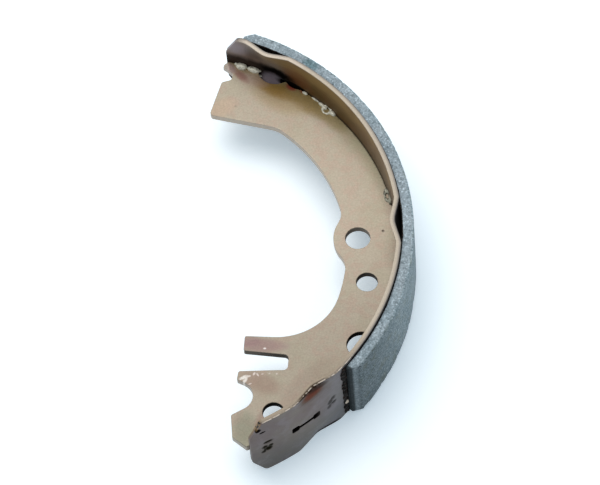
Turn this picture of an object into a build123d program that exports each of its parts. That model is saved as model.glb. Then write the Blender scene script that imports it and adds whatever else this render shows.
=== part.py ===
from build123d import *
import os
from math import acos, atan2, cos, degrees, hypot, radians, sin, sqrt, tan

# Drum brake shoe, millimetres and degrees.
# Everything is drawn about the drum's axis, half-way through the web: +Z along that axis, +X through
# the hold-down hole, +Y to the heel and -Y to the toe with the fork. The last step moves the shoe
# back along X, so that the finished part's origin is the middle of the hold-down hole.

# Driving dimensions: lining and rim
drum_diameter = 200.0
lining_thickness = 4.4
lining_width = 30.5
lining_sweep = 109.5
lining_middle = 11.5
lining_bevel_length = 3.7
lining_bevel_depth = 2.6
bond_thickness = 0.3
bond_overrun = 1.4
rim_sheet = 2.0
rim_width = 35.5
rim_half_sweep = 70.4
rim_corner_length = 5.2
rim_corner_height = 9.5
rim_corner_radius = 2.5

# Driving dimensions: ledge marks pressed into both edges of the rim
ledge_angles = [58.4, -1.9, -52.3]
ledge_depths = [2.35, 2.35, 2.35]
ledge_nose_depth = 0.3
ledge_half_sweep = 6.3
ledge_nose_half_sweep = 1.4
ledge_height = 9.5

# Driving dimensions: slots through the rim over the edge of the web
rim_slot_angles = [52.1, -55.9]
rim_slot_length = 12.0
rim_slot_width = 1.4
rim_slot_eye_diameter = 3.5
web_relief_length = 6.8
web_relief_depth = 1.0

# Driving dimensions: web plate, with each hole's distance in from the rim's inner face
web_thickness = 3.0
web_depth = 19.8
hold_down_inset = 15.3
hold_down_diameter = 9.7
boss_wall = 4.65
boss_radius = 13.7
boss_blend = 9.0
spring_hole_diameter = 8.3
return_hole_inset = 10.6
return_hole_angle = -14.1
toe_hole_inset = 8.5
toe_hole_angle = -60.9
rim_notch_inset = 3.6
rim_notch_angle = -32.0
rim_notch_diameter = 11.0
ledge_notch_outset = 3.4
ledge_notch_diameter = 14.4

# Driving dimensions: heel, the end that bears on the anchor
heel_angle = 69.8
heel_depth = 26.3
heel_slope = -18.0
heel_blend = 12.0
heel_corner_radius = 1.5
heel_notch_inset = 6.7
heel_notch_mouth = 6.8
heel_notch_floor = 2.8
heel_notch_depth = 3.3
heel_notch_corner = 1.3
heel_nose_height = 1.8
heel_nose_flank = 0.6
heel_nose_crest = 1.5
heel_nose_slope = 49.0
heel_nose_corner = 0.7
nose_bevel_setback = 2.7
nose_bevel_depth = 1.1
nose_bevel_turn = 24.8

# Driving dimensions: toe, each height measured up from the lowest point of the rim's inner face
fork_root_x = 47.95
fork_root_height = 40.3
fork_tilt = -7.4
fork_root_width = 6.5
fork_taper = 4.0
fork_root_corner = 1.8
upper_prong_length = 17.4
upper_prong_offset = 10.93
lower_prong_length = 18.6
prong_blend = 24.0
prong_corner = 0.8
toe_face_x = 25.15
toe_face_top_height = 19.4
toe_face_bottom_height = 9.9
toe_bevel_angle = -43.5
lower_prong_tip_x = 28.1
lower_prong_tip_height = 34.6
cylinder_notch_x = 27.7
cylinder_notch_height = 27.6
cylinder_notch_radius = 6.35
cylinder_notch_half_angle = 28.6
cylinder_notch_tilt = -3.3

# Driving dimensions: projection welds between the edge of the web and the rim
weld_angles = [64.9, 41.0, 11.0, -19.0, -48.2, -66.3]
weld_lump_radius = 1.6
weld_lump_spacing = 4.9
weld_lump_inset = 0.3

# Derived sizes
lining_outer_radius = drum_diameter / 2
lining_inner_radius = lining_outer_radius - lining_thickness
rim_outer_radius = lining_inner_radius - bond_thickness
rim_inner_radius = rim_outer_radius - rim_sheet
web_inner_radius = rim_inner_radius - web_depth
half_rim = rim_width / 2
half_web = web_thickness / 2
clear = 2 * rim_sheet
outside = rim_inner_radius + web_depth

os.makedirs("parts", exist_ok=True)


def polar(radius, angle, z=0.0):
    """A point at a radius and an angle about the drum's axis."""
    return Vector(radius * cos(radians(angle)), radius * sin(radians(angle)), z)


def arc_angle(length, radius):
    """The angle, in degrees, that an arc of this length takes at this radius."""
    return degrees(length / radius)


def arc_strip(inner, outer, width, start, sweep):
    """A strip rolled about the drum's axis, centred on the web."""
    section = Plane.XZ * Pos((inner + outer) / 2, 0) * Rectangle(outer - inner, width)
    return Rot(0, 0, start) * revolve(section, Axis.Z, sweep)


def tangent_plane(radius, angle):
    """A plane square to the radius at this angle: x along the arc, y along the drum's axis."""
    radial = polar(1, angle)
    return Plane(origin=polar(radius, angle), x_dir=polar(1, angle + 90), z_dir=radial)


def near(shape, point):
    """The corner of a flat profile that lies closest to a point."""
    return shape.vertices().sort_by_distance(point)[0]


def round_corner(shape, point, radius):
    """The profile with the corner closest to a point rounded."""
    return fillet(near(shape, point), radius)


# Rim: a rolled strip with cropped ends, ledge marks and two slots
def level_arc(radius, start, end, z):
    """An arc about the drum's axis, at a height."""
    middle = (start + end) / 2
    return ThreePointArc(polar(radius, start, z), polar(radius, middle, z), polar(radius, end, z))


def ledge_line(radius, depth, nose, angle, z):
    """One face of the sheet across a ledge mark: a flank, the nose and the other flank."""
    left = angle - ledge_half_sweep
    right = angle + ledge_half_sweep
    nose_left = angle - ledge_nose_half_sweep
    nose_right = angle + ledge_nose_half_sweep
    if depth == 0:
        return [level_arc(radius, left, nose_left, z), level_arc(radius, nose_left, nose_right, z),
                level_arc(radius, nose_right, right, z)]
    foot = polar(radius - depth, nose_left, z)
    crest = polar(radius - depth - nose, angle, z)
    far_foot = polar(radius - depth, nose_right, z)
    return [Line(polar(radius, left, z), foot), ThreePointArc(foot, crest, far_foot),
            Line(far_foot, polar(radius, right, z))]


def ledge_section(depth, nose, angle, z):
    """Section of the rim's sheet across a ledge mark, pressed inwards by a depth."""
    outer = ledge_line(rim_outer_radius, depth, nose, angle, z)
    inner = ledge_line(rim_inner_radius, depth, nose, angle, z)
    ends = [Line(polar(rim_inner_radius, angle + side * ledge_half_sweep, z),
                 polar(rim_outer_radius, angle + side * ledge_half_sweep, z)) for side in (-1, 1)]
    return make_face(outer + inner + ends)


def ledge_sheet(angle, depth):
    """The sheet of a ledge mark of one depth, from the rim's upper edge down to where it runs out."""
    foot = ledge_section(0, 0, angle, half_rim - ledge_height)
    pressed = ledge_section(depth, ledge_nose_depth, angle, half_rim)
    return loft([foot, pressed], ruled=True)


def rim_end_tool(angle):
    """What is cropped off beyond the six-sided end of the rim, drawn for the end at +angle."""
    reach = 2 * rim_corner_length
    tongue = Polygon(
        (-reach, -half_rim),
        (-rim_corner_length, -half_rim),
        (0, rim_corner_height - half_rim),
        (0, half_rim - rim_corner_height),
        (-rim_corner_length, half_rim),
        (-reach, half_rim),
        align=None,
    )
    for across in (-1, 1):
        tongue = round_corner(tongue, (0, across * (half_rim - rim_corner_height)), rim_corner_radius)
        tongue = round_corner(tongue, (-rim_corner_length, across * half_rim), rim_corner_radius)
    waste = Rectangle(2 * reach, rim_width + clear) - tongue
    return tangent_plane(rim_outer_radius, angle) * extrude(waste, clear, both=True)


def rim_slot_tool(angle):
    """A narrow slot with a round eye at each end."""
    eye_place = (rim_slot_length - rim_slot_eye_diameter) / 2
    outline = Rectangle(2 * eye_place, rim_slot_width)
    outline += Pos(-eye_place, 0) * Circle(rim_slot_eye_diameter / 2)
    outline += Pos(eye_place, 0) * Circle(rim_slot_eye_diameter / 2)
    return tangent_plane(rim_outer_radius, angle) * extrude(outline, clear, both=True)


crop = arc_angle(rim_sheet, rim_outer_radius)
rim_start = -rim_half_sweep - crop
rim = arc_strip(rim_inner_radius, rim_outer_radius, rim_width, rim_start, 2 * (rim_half_sweep + crop))
end_tool = rim_end_tool(rim_half_sweep)
rim -= end_tool
rim -= mirror(end_tool, Plane.XZ)
for slot_angle in rim_slot_angles:
    rim -= rim_slot_tool(slot_angle)
for ledge_angle, ledge_depth in zip(ledge_angles, ledge_depths):
    window = arc_strip(rim_inner_radius - rim_sheet, rim_outer_radius + rim_sheet, ledge_height,
                       ledge_angle - ledge_half_sweep, 2 * ledge_half_sweep)
    window_up = Pos(0, 0, half_rim - ledge_height / 2) * window
    sheet = ledge_sheet(ledge_angle, ledge_depth)
    rim -= window_up
    rim -= mirror(window_up, Plane.XY)
    rim += sheet
    rim += mirror(sheet, Plane.XY)

# Web: one stamped plate, drawn flat
disk = Circle(rim_inner_radius)
heel_line = polar(1, heel_angle)
heel_side = polar(1, heel_angle + 90)
fork_axis = polar(1, 180 + fork_tilt)
fork_side = polar(1, 90 + fork_tilt)
fork_root = Vector(fork_root_x, fork_root_height - rim_inner_radius)


def flat(point):
    """The x and y of a point."""
    return (point.X, point.Y)


def flat_polar(radius, angle):
    """A point of the flat profile at a radius and an angle."""
    return flat(polar(radius, angle))


def heel_point(inset, out):
    """A point of the heel's end line, in from the rim's inner face, and out past that line."""
    return flat(heel_line * (rim_inner_radius - inset) + heel_side * out)


def fork_point(out, side):
    """A point at a distance from the fork's root towards its mouth, and to the hub side of its axis."""
    return flat(fork_root + fork_axis * out + fork_side * side)


def toe_point(x, height):
    """A point of the toe, at a height above the lowest point of the rim's inner face."""
    return (x, height - rim_inner_radius)


def band_crossing(start, angle):
    """Where a straight edge that leaves a point at an angle meets the inner arc of the web's band."""
    across = start[0] * cos(radians(angle)) + start[1] * sin(radians(angle))
    run = sqrt(across ** 2 + web_inner_radius ** 2 - hypot(*start) ** 2) - across
    return (start[0] + run * cos(radians(angle)), start[1] + run * sin(radians(angle)))


def into_band(crossing):
    """The two corners that carry a straight-edged end of the web on into the band and past the rim."""
    angle = degrees(atan2(crossing[1], crossing[0]))
    return [flat_polar(web_inner_radius + clear, angle), flat_polar(outside, angle)]


heel_corner = heel_point(heel_depth, 0)
heel_crossing = band_crossing(heel_corner, heel_slope)
prong_tip = fork_point(upper_prong_length, upper_prong_offset)
prong_crossing = band_crossing(prong_tip, fork_tilt)


def heel_profile():
    """The heel: a straight inner edge, a radial end, a notch, and a nose beside the rim."""
    half_mouth = heel_notch_mouth / 2
    half_floor = heel_notch_floor / 2
    nose_foot = heel_notch_inset - half_mouth
    crest_start = nose_foot - heel_nose_flank
    crest_end = crest_start - heel_nose_crest
    fall = (crest_end + clear) * tan(radians(heel_nose_slope))
    corners = [
        (heel_point(-clear, heel_nose_height - fall), 0),
        (heel_point(crest_end, heel_nose_height), heel_nose_corner),
        (heel_point(crest_start, heel_nose_height), heel_nose_corner),
        (heel_point(nose_foot, 0), 0),
        (heel_point(heel_notch_inset - half_floor, -heel_notch_depth), heel_notch_corner),
        (heel_point(heel_notch_inset + half_floor, -heel_notch_depth), heel_notch_corner),
        (heel_point(heel_notch_inset + half_mouth, 0), heel_corner_radius),
        (heel_corner, heel_corner_radius),
    ]
    return cornered(corners, [heel_crossing, *into_band(heel_crossing)])


def toe_profile():
    """The toe: two prongs with a tapered slot between them, the cylinder notch and the toe's face."""
    half_root = fork_root_width / 2
    upper_mouth = half_root + upper_prong_length * tan(radians(fork_taper))
    lower_mouth = half_root + lower_prong_length * tan(radians(fork_taper))
    apex_reach = cylinder_notch_radius / sin(radians(cylinder_notch_half_angle))
    notch_centre = Vector(*toe_point(cylinder_notch_x, cylinder_notch_height))
    toe_foot = toe_point(toe_face_x, toe_face_bottom_height)
    corners = [
        (prong_tip, prong_corner),
        (fork_point(upper_prong_length, upper_mouth), prong_corner),
        (fork_point(0, half_root), fork_root_corner),
        (fork_point(0, -half_root), fork_root_corner),
        (fork_point(lower_prong_length, -lower_mouth), prong_corner),
        (toe_point(lower_prong_tip_x, lower_prong_tip_height), prong_corner),
        (flat(notch_centre + polar(apex_reach, cylinder_notch_tilt)), cylinder_notch_radius),
        (toe_point(toe_face_x, toe_face_top_height), prong_corner),
        (toe_foot, prong_corner),
        (flat(Vector(*toe_foot) + polar(2 * web_depth, toe_bevel_angle)), 0),
    ]
    return cornered(corners, [*reversed(into_band(prong_crossing)), prong_crossing])


def cornered(corners, plain):
    """The part of a polygon inside the rim, with its corners rounded and the plain ones left sharp."""
    outline = Polygon(*[point for point, _ in corners], *plain, align=None)
    for point, radius in corners:
        if radius:
            outline = round_corner(outline, point, radius)
    return outline & disk


def band_profile():
    """The curved middle of the web, run on a little under the heel and the toe."""
    start = degrees(atan2(prong_crossing[1], prong_crossing[0])) - arc_angle(clear, web_inner_radius)
    end = degrees(atan2(heel_crossing[1], heel_crossing[0])) + arc_angle(clear, web_inner_radius)
    far = 2 * outside
    wedge = Polygon((0, 0), flat_polar(far, start), (far, 0), flat_polar(far, end), align=None)
    return (disk - Circle(web_inner_radius)) & wedge


def edge_bite(depth, length, angle):
    """A shallow round bite out of the web's outer edge."""
    radius = (length * length / 4 + depth * depth) / (2 * depth)
    return Pos(*flat_polar(rim_inner_radius - depth + radius, angle)) * Circle(radius)


web_profile = band_profile() + heel_profile() + toe_profile()
web_profile = round_corner(web_profile, heel_crossing, heel_blend)
web_profile = round_corner(web_profile, prong_crossing, prong_blend)

# Boss around the hold-down hole
hold_down_radius = rim_inner_radius - hold_down_inset
boss_centre = hold_down_radius - hold_down_diameter / 2 - boss_wall + boss_radius
web_profile += Pos(boss_centre, 0) * Circle(boss_radius) & disk
boss_cosine = boss_centre ** 2 + web_inner_radius ** 2 - boss_radius ** 2
boss_cosine /= 2 * boss_centre * web_inner_radius
boss_angle = degrees(acos(boss_cosine))
for side in (-1, 1):
    web_profile = round_corner(web_profile, flat_polar(web_inner_radius, side * boss_angle), boss_blend)

# Holes and notches of the web
web_profile -= Pos(hold_down_radius, 0) * Circle(hold_down_diameter / 2)
for hole_inset, hole_angle in ((return_hole_inset, return_hole_angle), (toe_hole_inset, toe_hole_angle)):
    hole_place = flat_polar(rim_inner_radius - hole_inset, hole_angle)
    web_profile -= Pos(*hole_place) * Circle(spring_hole_diameter / 2)
rim_notch_place = flat_polar(rim_inner_radius - rim_notch_inset, rim_notch_angle)
web_profile -= Pos(*rim_notch_place) * Circle(rim_notch_diameter / 2)
ledge_notch_place = flat_polar(rim_inner_radius + ledge_notch_outset, ledge_angles[0])
web_profile -= Pos(*ledge_notch_place) * Circle(ledge_notch_diameter / 2)
for slot_angle in rim_slot_angles:
    web_profile -= edge_bite(web_relief_depth, web_relief_length, slot_angle)
web = extrude(web_profile, half_web, both=True)

# Bevel coined on the nose's upper face
nose_tip = Vector(*heel_point(heel_notch_inset - heel_notch_mouth / 2 - heel_nose_flank, heel_nose_height))
bevel_out = polar(1, heel_angle + 90 + nose_bevel_turn)
bevel_start = nose_tip - bevel_out * nose_bevel_setback + Vector(0, 0, half_web)
bevel_fall = degrees(atan2(nose_bevel_depth, nose_bevel_setback))
bevel_line = Plane(origin=bevel_start, x_dir=bevel_out, z_dir=(0, 0, 1)).location
web -= bevel_line * Rot(0, bevel_fall, 0) * Pos(clear, 0, clear) * Box(2 * clear, 2 * clear, 2 * clear)

# Lining and the film that bonds it to the rim
lining_start = lining_middle - lining_sweep / 2
lining = arc_strip(lining_inner_radius, lining_outer_radius, lining_width, lining_start, lining_sweep)


def bevel_tool(angle, direction):
    """The wedge taken off the outer corner of the lining's end at this angle."""
    corner = Polygon(
        (0, -lining_bevel_depth),
        (direction * lining_bevel_length, 0),
        (direction * lining_bevel_length, clear),
        (-direction * clear, clear),
        (-direction * clear, -lining_bevel_depth - clear * lining_bevel_depth / lining_bevel_length),
        align=None,
    )
    end = Plane(origin=polar(lining_outer_radius, angle), x_dir=polar(1, angle + 90), z_dir=(0, 0, -1))
    return end * extrude(corner, lining_width, both=True)


lining -= bevel_tool(lining_start, 1)
lining -= bevel_tool(lining_start + lining_sweep, -1)
overrun = arc_angle(bond_overrun, rim_outer_radius)
bond_film = arc_strip(rim_outer_radius, lining_inner_radius, lining_width, lining_start - overrun,
                      lining_sweep + 2 * overrun)

# Weld lumps in the corner between the web and the rim, on both faces of the web
weld_ring_start = rim_inner_radius - clear
corner_ring = arc_strip(weld_ring_start, rim_inner_radius, clear, -rim_half_sweep, 2 * rim_half_sweep)
corner_ring = Pos(0, 0, half_web + clear / 2) * corner_ring
lump_step = arc_angle(weld_lump_spacing / 2, rim_inner_radius)
weld_lumps = []
for weld_angle in weld_angles:
    for step in (-lump_step, lump_step):
        place = polar(rim_inner_radius - weld_lump_inset, weld_angle + step, half_web + weld_lump_inset)
        lump = Pos(place) * Sphere(weld_lump_radius) & corner_ring
        weld_lumps += [lump, mirror(lump, Plane.XY)]

parts = {
    "web": web,
    "rim": rim,
    "lining": lining,
    "bond_film": bond_film,
    "weld_lumps": Compound(children=[solid for lump in weld_lumps for solid in lump.solids()]),
}
for name, drawn in parts.items():
    shape = Pos(-hold_down_radius, 0, 0) * drawn
    export_step(shape, f"parts/{name}.step")
    print(name, len(shape.solids()), round(shape.volume, 1), shape.bounding_box())
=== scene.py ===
"""Bonded drum brake shoe, lying on the edge of its rim on a pale studio floor.

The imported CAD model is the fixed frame. Every piece here stands for one of its nodes and keeps its place:
the stamped web, the rolled rim, the friction lining, the cured adhesive and the metal squeezed out at the
projection welds. Lengths are in millimetres and angles in degrees until a mesh is written.
"""

import logging
from collections.abc import Callable, Iterable
from dataclasses import dataclass, field
from enum import Enum
from functools import partial
from math import cos, degrees, hypot, radians, sin

import bmesh
import bpy
import numpy as np
from mathutils import Matrix, Vector, noise


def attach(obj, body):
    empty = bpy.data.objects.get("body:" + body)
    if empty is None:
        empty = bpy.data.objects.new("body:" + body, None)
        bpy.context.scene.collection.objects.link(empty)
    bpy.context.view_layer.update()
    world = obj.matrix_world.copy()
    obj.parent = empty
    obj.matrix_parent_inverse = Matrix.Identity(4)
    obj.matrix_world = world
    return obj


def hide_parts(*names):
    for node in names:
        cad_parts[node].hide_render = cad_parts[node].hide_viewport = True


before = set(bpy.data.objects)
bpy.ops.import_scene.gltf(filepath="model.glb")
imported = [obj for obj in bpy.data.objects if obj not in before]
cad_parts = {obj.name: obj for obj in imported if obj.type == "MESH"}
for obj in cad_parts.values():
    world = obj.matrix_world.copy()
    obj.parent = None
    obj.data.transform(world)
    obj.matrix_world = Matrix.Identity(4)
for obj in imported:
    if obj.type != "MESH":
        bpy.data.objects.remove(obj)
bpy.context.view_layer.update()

MM = 0.001
DRUM_AXIS_X = -78.0
WEB_TOP = 1.5
RIM_OUTER = 95.3
RIM_SHEET = 2.0
RIM_INNER = 93.3
HALF_RIM = 17.75
FLOOR = -17.75
LINING_FACE = 100.0
LINING_HALF_WIDTH = 16.25
LINING_START = 11.5 - 109.5 / 2
LINING_END = 11.5 + 109.5 / 2
FILM_FACE = 95.6
TOLERANCE = 0.01

Pair = tuple[float, float]
Triple = tuple[float, float, float]
Quad = tuple[float, float, float, float]
Paint = tuple[int, int, int]
Shape = Callable[[np.ndarray], np.ndarray]

SLOT_ANGLES: Pair = (52.1, -55.9)

log = logging.getLogger("shoe")


def linear(paint: Paint) -> Quad:
    """Turn a display colour into the linear one that a socket takes.

    Args:
        paint: red, green and blue from 0 to 255.

    Returns:
        The linear colour with an alpha of 1.
    """
    steps = [value / 255 for value in paint]
    spread = [s / 12.92 if s <= 0.04045 else ((s + 0.055) / 1.055) ** 2.4 for s in steps]
    return (*spread, 1.0)


def on_drum(radius: float, angle: float, height: float = 0.0) -> Vector:
    """Place a point by its radius and angle about the drum's axis.

    Args:
        radius: distance from the drum's axis.
        angle: angle from the line through the hold-down hole.
        height: height above the middle of the web.

    Returns:
        The point in the row frame, in millimetres.
    """
    turn = radians(angle)
    return Vector((DRUM_AXIS_X + radius * cos(turn), radius * sin(turn), height))


def upright(first: Vector, last: Vector) -> bool:
    """Whether an edge between two points runs straight up."""
    return hypot(first.x - last.x, first.y - last.y) < TOLERANCE


def arc(angle: float, radius: float = RIM_OUTER) -> float:
    """Length of the arc that an angle takes at a radius."""
    return radians(angle) * radius


def grain(points: np.ndarray, size: float, seed: float = 0.0) -> np.ndarray:
    """Read smooth noise at many points.

    Args:
        points: one row for each point, in millimetres.
        size: size of the noise's lumps.
        seed: shift that gives another pattern.

    Returns:
        One value for each point, about -1 to 1.
    """
    shift = Vector((seed, seed * 1.7, seed * 0.6))
    return np.array([noise.noise(Vector(row) / size + shift) for row in points])


def ease(value: np.ndarray) -> np.ndarray:
    """Smooth a run from 0 to 1 at both of its ends."""
    held = np.clip(value, 0.0, 1.0)
    return held * held * (3.0 - 2.0 * held)


class Axis(Enum):
    """A direction of a flat blank: along the arc, across the strip or through the sheet."""

    ALONG = 0
    ACROSS = 1
    THROUGH = 2


class Solid:
    """A piece that is shaped with Blender's own tools. Lengths are given in millimetres."""

    def __init__(self, holder: bpy.types.Object, name: str) -> None:
        """Name an object and its mesh as one piece."""
        self.holder = holder
        holder.name = name
        holder.data.name = name

    @staticmethod
    def free_hands() -> None:
        """Leave edit mode and deselect everything."""
        if bpy.context.mode != "OBJECT":
            bpy.ops.object.mode_set(mode="OBJECT")
        bpy.ops.object.select_all(action="DESELECT")

    @classmethod
    def block(cls, name: str, low: Triple, high: Triple) -> "Solid":
        """Add a block between two corners, as the blank of a piece.

        Args:
            name: the piece's name.
            low: its lowest corner.
            high: its highest corner.

        Returns:
            The new piece.
        """
        cls.free_hands()
        middle = [(a + b) / 2 * MM for a, b in zip(low, high)]
        bpy.ops.mesh.primitive_cube_add(size=1.0, location=middle)
        holder = bpy.context.object
        holder.scale = [(b - a) * MM for a, b in zip(low, high)]
        bpy.ops.object.transform_apply(location=True, rotation=True, scale=True)
        return cls(holder, name)

    @classmethod
    def ball(cls, name: str, place: Vector, radius: float, detail: int = 3) -> "Solid":
        """Add a ball of small triangles, to be pushed into a lump.

        Args:
            name: the piece's name.
            place: its middle.
            radius: its radius.
            detail: how often its faces are divided.

        Returns:
            The new piece.
        """
        cls.free_hands()
        bpy.ops.mesh.primitive_ico_sphere_add(subdivisions=detail, radius=radius * MM, location=place * MM)
        bpy.ops.object.transform_apply(location=True, rotation=True, scale=True)
        return cls(bpy.context.object, name)

    @classmethod
    def ring(cls, name: str, place: Vector, radius: float, thickness: float) -> "Solid":
        """Add a ring lying level, to be pushed into a splash.

        Args:
            name: the piece's name.
            place: its middle.
            radius: radius of its middle line.
            thickness: radius of its section.

        Returns:
            The new piece.
        """
        cls.free_hands()
        bpy.ops.mesh.primitive_torus_add(
            major_segments=32, minor_segments=12, major_radius=radius * MM, minor_radius=thickness * MM,
            location=place * MM,
        )
        bpy.ops.object.transform_apply(location=True, rotation=True, scale=True)
        return cls(bpy.context.object, name)

    @classmethod
    def of_node(cls, node: str, name: str) -> "Solid":
        """Copy a CAD node's mesh and merge its loose triangles into flat faces.

        Args:
            node: the CAD node's name.
            name: the new piece's name.

        Returns:
            The new piece.
        """
        cls.free_hands()
        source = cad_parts[node]
        holder = bpy.data.objects.new(name, source.data.copy())
        holder.data.materials.clear()
        bpy.context.scene.collection.objects.link(holder)
        made = cls(holder, name)
        with made:
            bpy.ops.mesh.select_all(action="SELECT")
            bpy.ops.mesh.remove_doubles(threshold=1e-6)
            bpy.ops.mesh.dissolve_limited(angle_limit=radians(1.0))
        return made

    def take(self) -> None:
        """Select this piece alone and make it the active one."""
        self.free_hands()
        bpy.context.view_layer.objects.active = self.holder
        self.holder.select_set(True)

    def __enter__(self) -> "Solid":
        """Open the piece in edit mode."""
        self.take()
        bpy.ops.object.mode_set(mode="EDIT")
        return self

    def __exit__(self, *_: object) -> None:
        """Close edit mode."""
        bpy.ops.object.mode_set(mode="OBJECT")

    def pick_edges(self, wanted: Callable[[Vector, Vector], bool]) -> None:
        """Select the edges that pass a test, in edit mode.

        Args:
            wanted: the test, given an edge's two ends in millimetres.
        """
        bpy.ops.mesh.select_mode(type="EDGE")
        bpy.ops.mesh.select_all(action="DESELECT")
        cage = bmesh.from_edit_mesh(self.holder.data)
        for edge in cage.edges:
            first, last = (vertex.co / MM for vertex in edge.verts)
            if wanted(first, last):
                edge.select_set(True)
        bmesh.update_edit_mesh(self.holder.data)

    def cleave(self, place: Triple, normal: Triple) -> None:
        """Cut off what lies beyond a plane and close the cut.

        Args:
            place: a point of the plane.
            normal: the plane's direction, towards what goes.
        """
        square = Vector(normal).normalized()
        with self:
            bpy.ops.mesh.select_all(action="SELECT")
            bpy.ops.mesh.bisect(
                plane_co=[v * MM for v in place], plane_no=square, use_fill=True, clear_outer=True,
            )

    def slice_at(self, axis: Axis, places: Iterable[float]) -> None:
        """Score the piece across at many places, so that it can be rolled or pushed.

        Args:
            axis: the direction that the places are measured along.
            places: where the cuts go.
        """
        normal = [0.0, 0.0, 0.0]
        normal[axis.value] = 1.0
        with self:
            for place in places:
                bpy.ops.mesh.select_all(action="SELECT")
                bpy.ops.mesh.bisect(plane_co=[v * place * MM for v in normal], plane_no=normal)

    def apply(self, kind: str, **settings: object) -> None:
        """Add a modifier, set it and apply it.

        Args:
            kind: Blender's name of the modifier.
            settings: its settings, lengths in metres.
        """
        self.take()
        made = self.holder.modifiers.new(kind.lower(), kind)
        for key, value in settings.items():
            setattr(made, key, value)
        bpy.ops.object.modifier_apply(modifier=made.name)

    def break_edges(self, width: float) -> None:
        """Round every edge sharper than 40 degrees a little.

        Args:
            width: how far the rounding reaches.
        """
        self.apply(
            "BEVEL", width=width * MM, segments=2, limit_method="ANGLE", angle_limit=radians(40.0),
            use_clamp_overlap=False,
        )

    def cut(self, tool: "Solid") -> None:
        """Take another piece's shape out of this one, and throw the tool away."""
        self.apply("BOOLEAN", operation="DIFFERENCE", solver="EXACT", object=tool.holder)
        tool.scrap()

    def join(self, others: Iterable["Solid"]) -> None:
        """Join other pieces into this one, each with its own shell."""
        self.free_hands()
        for other in others:
            other.holder.select_set(True)
        self.holder.select_set(True)
        bpy.context.view_layer.objects.active = self.holder
        bpy.ops.object.join()

    def scrap(self) -> None:
        """Remove the piece and its mesh."""
        mesh = self.holder.data
        bpy.data.objects.remove(self.holder)
        bpy.data.meshes.remove(mesh)

    def points(self) -> np.ndarray:
        """The piece's vertices, one row each, in millimetres."""
        flat = np.empty(len(self.holder.data.vertices) * 3)
        self.holder.data.vertices.foreach_get("co", flat)
        return flat.reshape(-1, 3) / MM

    def reshape(self, shape: Shape) -> None:
        """Move every vertex.

        Args:
            shape: gives the new places of the vertices, in millimetres, from the old ones.
        """
        moved = np.ascontiguousarray(shape(self.points()) * MM, dtype=np.float32)
        self.holder.data.vertices.foreach_set("co", moved.ravel())
        self.holder.data.update()

    def keep_flat_places(self) -> None:
        """Store where each vertex lies on the flat blank, for patterns that follow the sheet."""
        store = self.holder.data.attributes.new("flat", "FLOAT_VECTOR", "POINT")
        store.data.foreach_set("vector", np.ascontiguousarray(self.points(), dtype=np.float32).ravel())

    def roll(self, radius: float) -> None:
        """Roll a flat blank about the drum's axis.

        Args:
            radius: where the blank's zero depth ends up.
        """
        def rolled(points: np.ndarray) -> np.ndarray:
            """Turn places on the flat into places on the roll."""
            turn = points[:, 0] / radius
            reach = radius + points[:, 2]
            return np.stack([DRUM_AXIS_X + reach * np.cos(turn), reach * np.sin(turn), points[:, 1]], axis=1)

        self.reshape(rolled)

    def dress(self, material: bpy.types.Material, slot: str, node: str, smooth: float = 35.0) -> None:
        """Give the piece its finish and put it in the place of its CAD node.

        Args:
            material: its finish.
            slot: not used.
            node: the CAD node that it stands for.
            smooth: edges flatter than this are shaded smooth.
        """
        self.take()
        bpy.ops.object.shade_smooth_by_angle(angle=radians(smooth))
        self.apply("WEIGHTED_NORMAL", keep_sharp=True, weight=80)
        self.holder.data.materials.clear()
        self.holder.data.materials.append(material)
        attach(self.holder, "root")
        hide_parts(node)
        log.info("%s stands for %s: %d faces", self.holder.name, node, len(self.holder.data.polygons))


@dataclass(frozen=True)
class Wire:
    """An output socket of a node, with arithmetic that adds Math nodes."""

    graph: "Graph"
    socket: bpy.types.NodeSocket

    def math(self, operation: str, *others: "Wire | float") -> "Wire":
        """Add a Math node.

        Args:
            operation: Blender's name of the operation.
            others: the other values.

        Returns:
            The result.
        """
        sockets = dict(enumerate((self, *others)))
        return self.graph.add("ShaderNodeMath", {"operation": operation}, sockets)

    def __add__(self, other: "Wire | float") -> "Wire":
        """This value plus another."""
        return self.math("ADD", other)

    __radd__ = __add__

    def __mul__(self, other: "Wire | float") -> "Wire":
        """This value times another."""
        return self.math("MULTIPLY", other)

    __rmul__ = __mul__

    def __sub__(self, other: "Wire | float") -> "Wire":
        """This value less another."""
        return self.math("SUBTRACT", other)

    def __rsub__(self, other: float) -> "Wire":
        """A number less this value."""
        return (self * -1.0) + other

    def __truediv__(self, other: "Wire | float") -> "Wire":
        """This value over another."""
        return self.math("DIVIDE", other)

    def __abs__(self) -> "Wire":
        """This value without its sign."""
        return self.math("ABSOLUTE")

    def most(self, other: "Wire | float") -> "Wire":
        """The greater of this value and another."""
        return self.math("MAXIMUM", other)

    def rise(self, low: float, high: float) -> "Wire":
        """Run smoothly from 0 at one value to 1 at another.

        Args:
            low: where the run is 0.
            high: where the run is 1; it may be less than low.

        Returns:
            The run, from 0 to 1.
        """
        if low > high:
            return 1.0 - self.rise(high, low)
        settings = {"interpolation_type": "SMOOTHSTEP", "clamp": True}
        sockets = {"Value": self, "From Min": low, "From Max": high}
        return self.graph.add("ShaderNodeMapRange", settings, sockets)


Value = Wire | float | Triple | Quad


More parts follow.
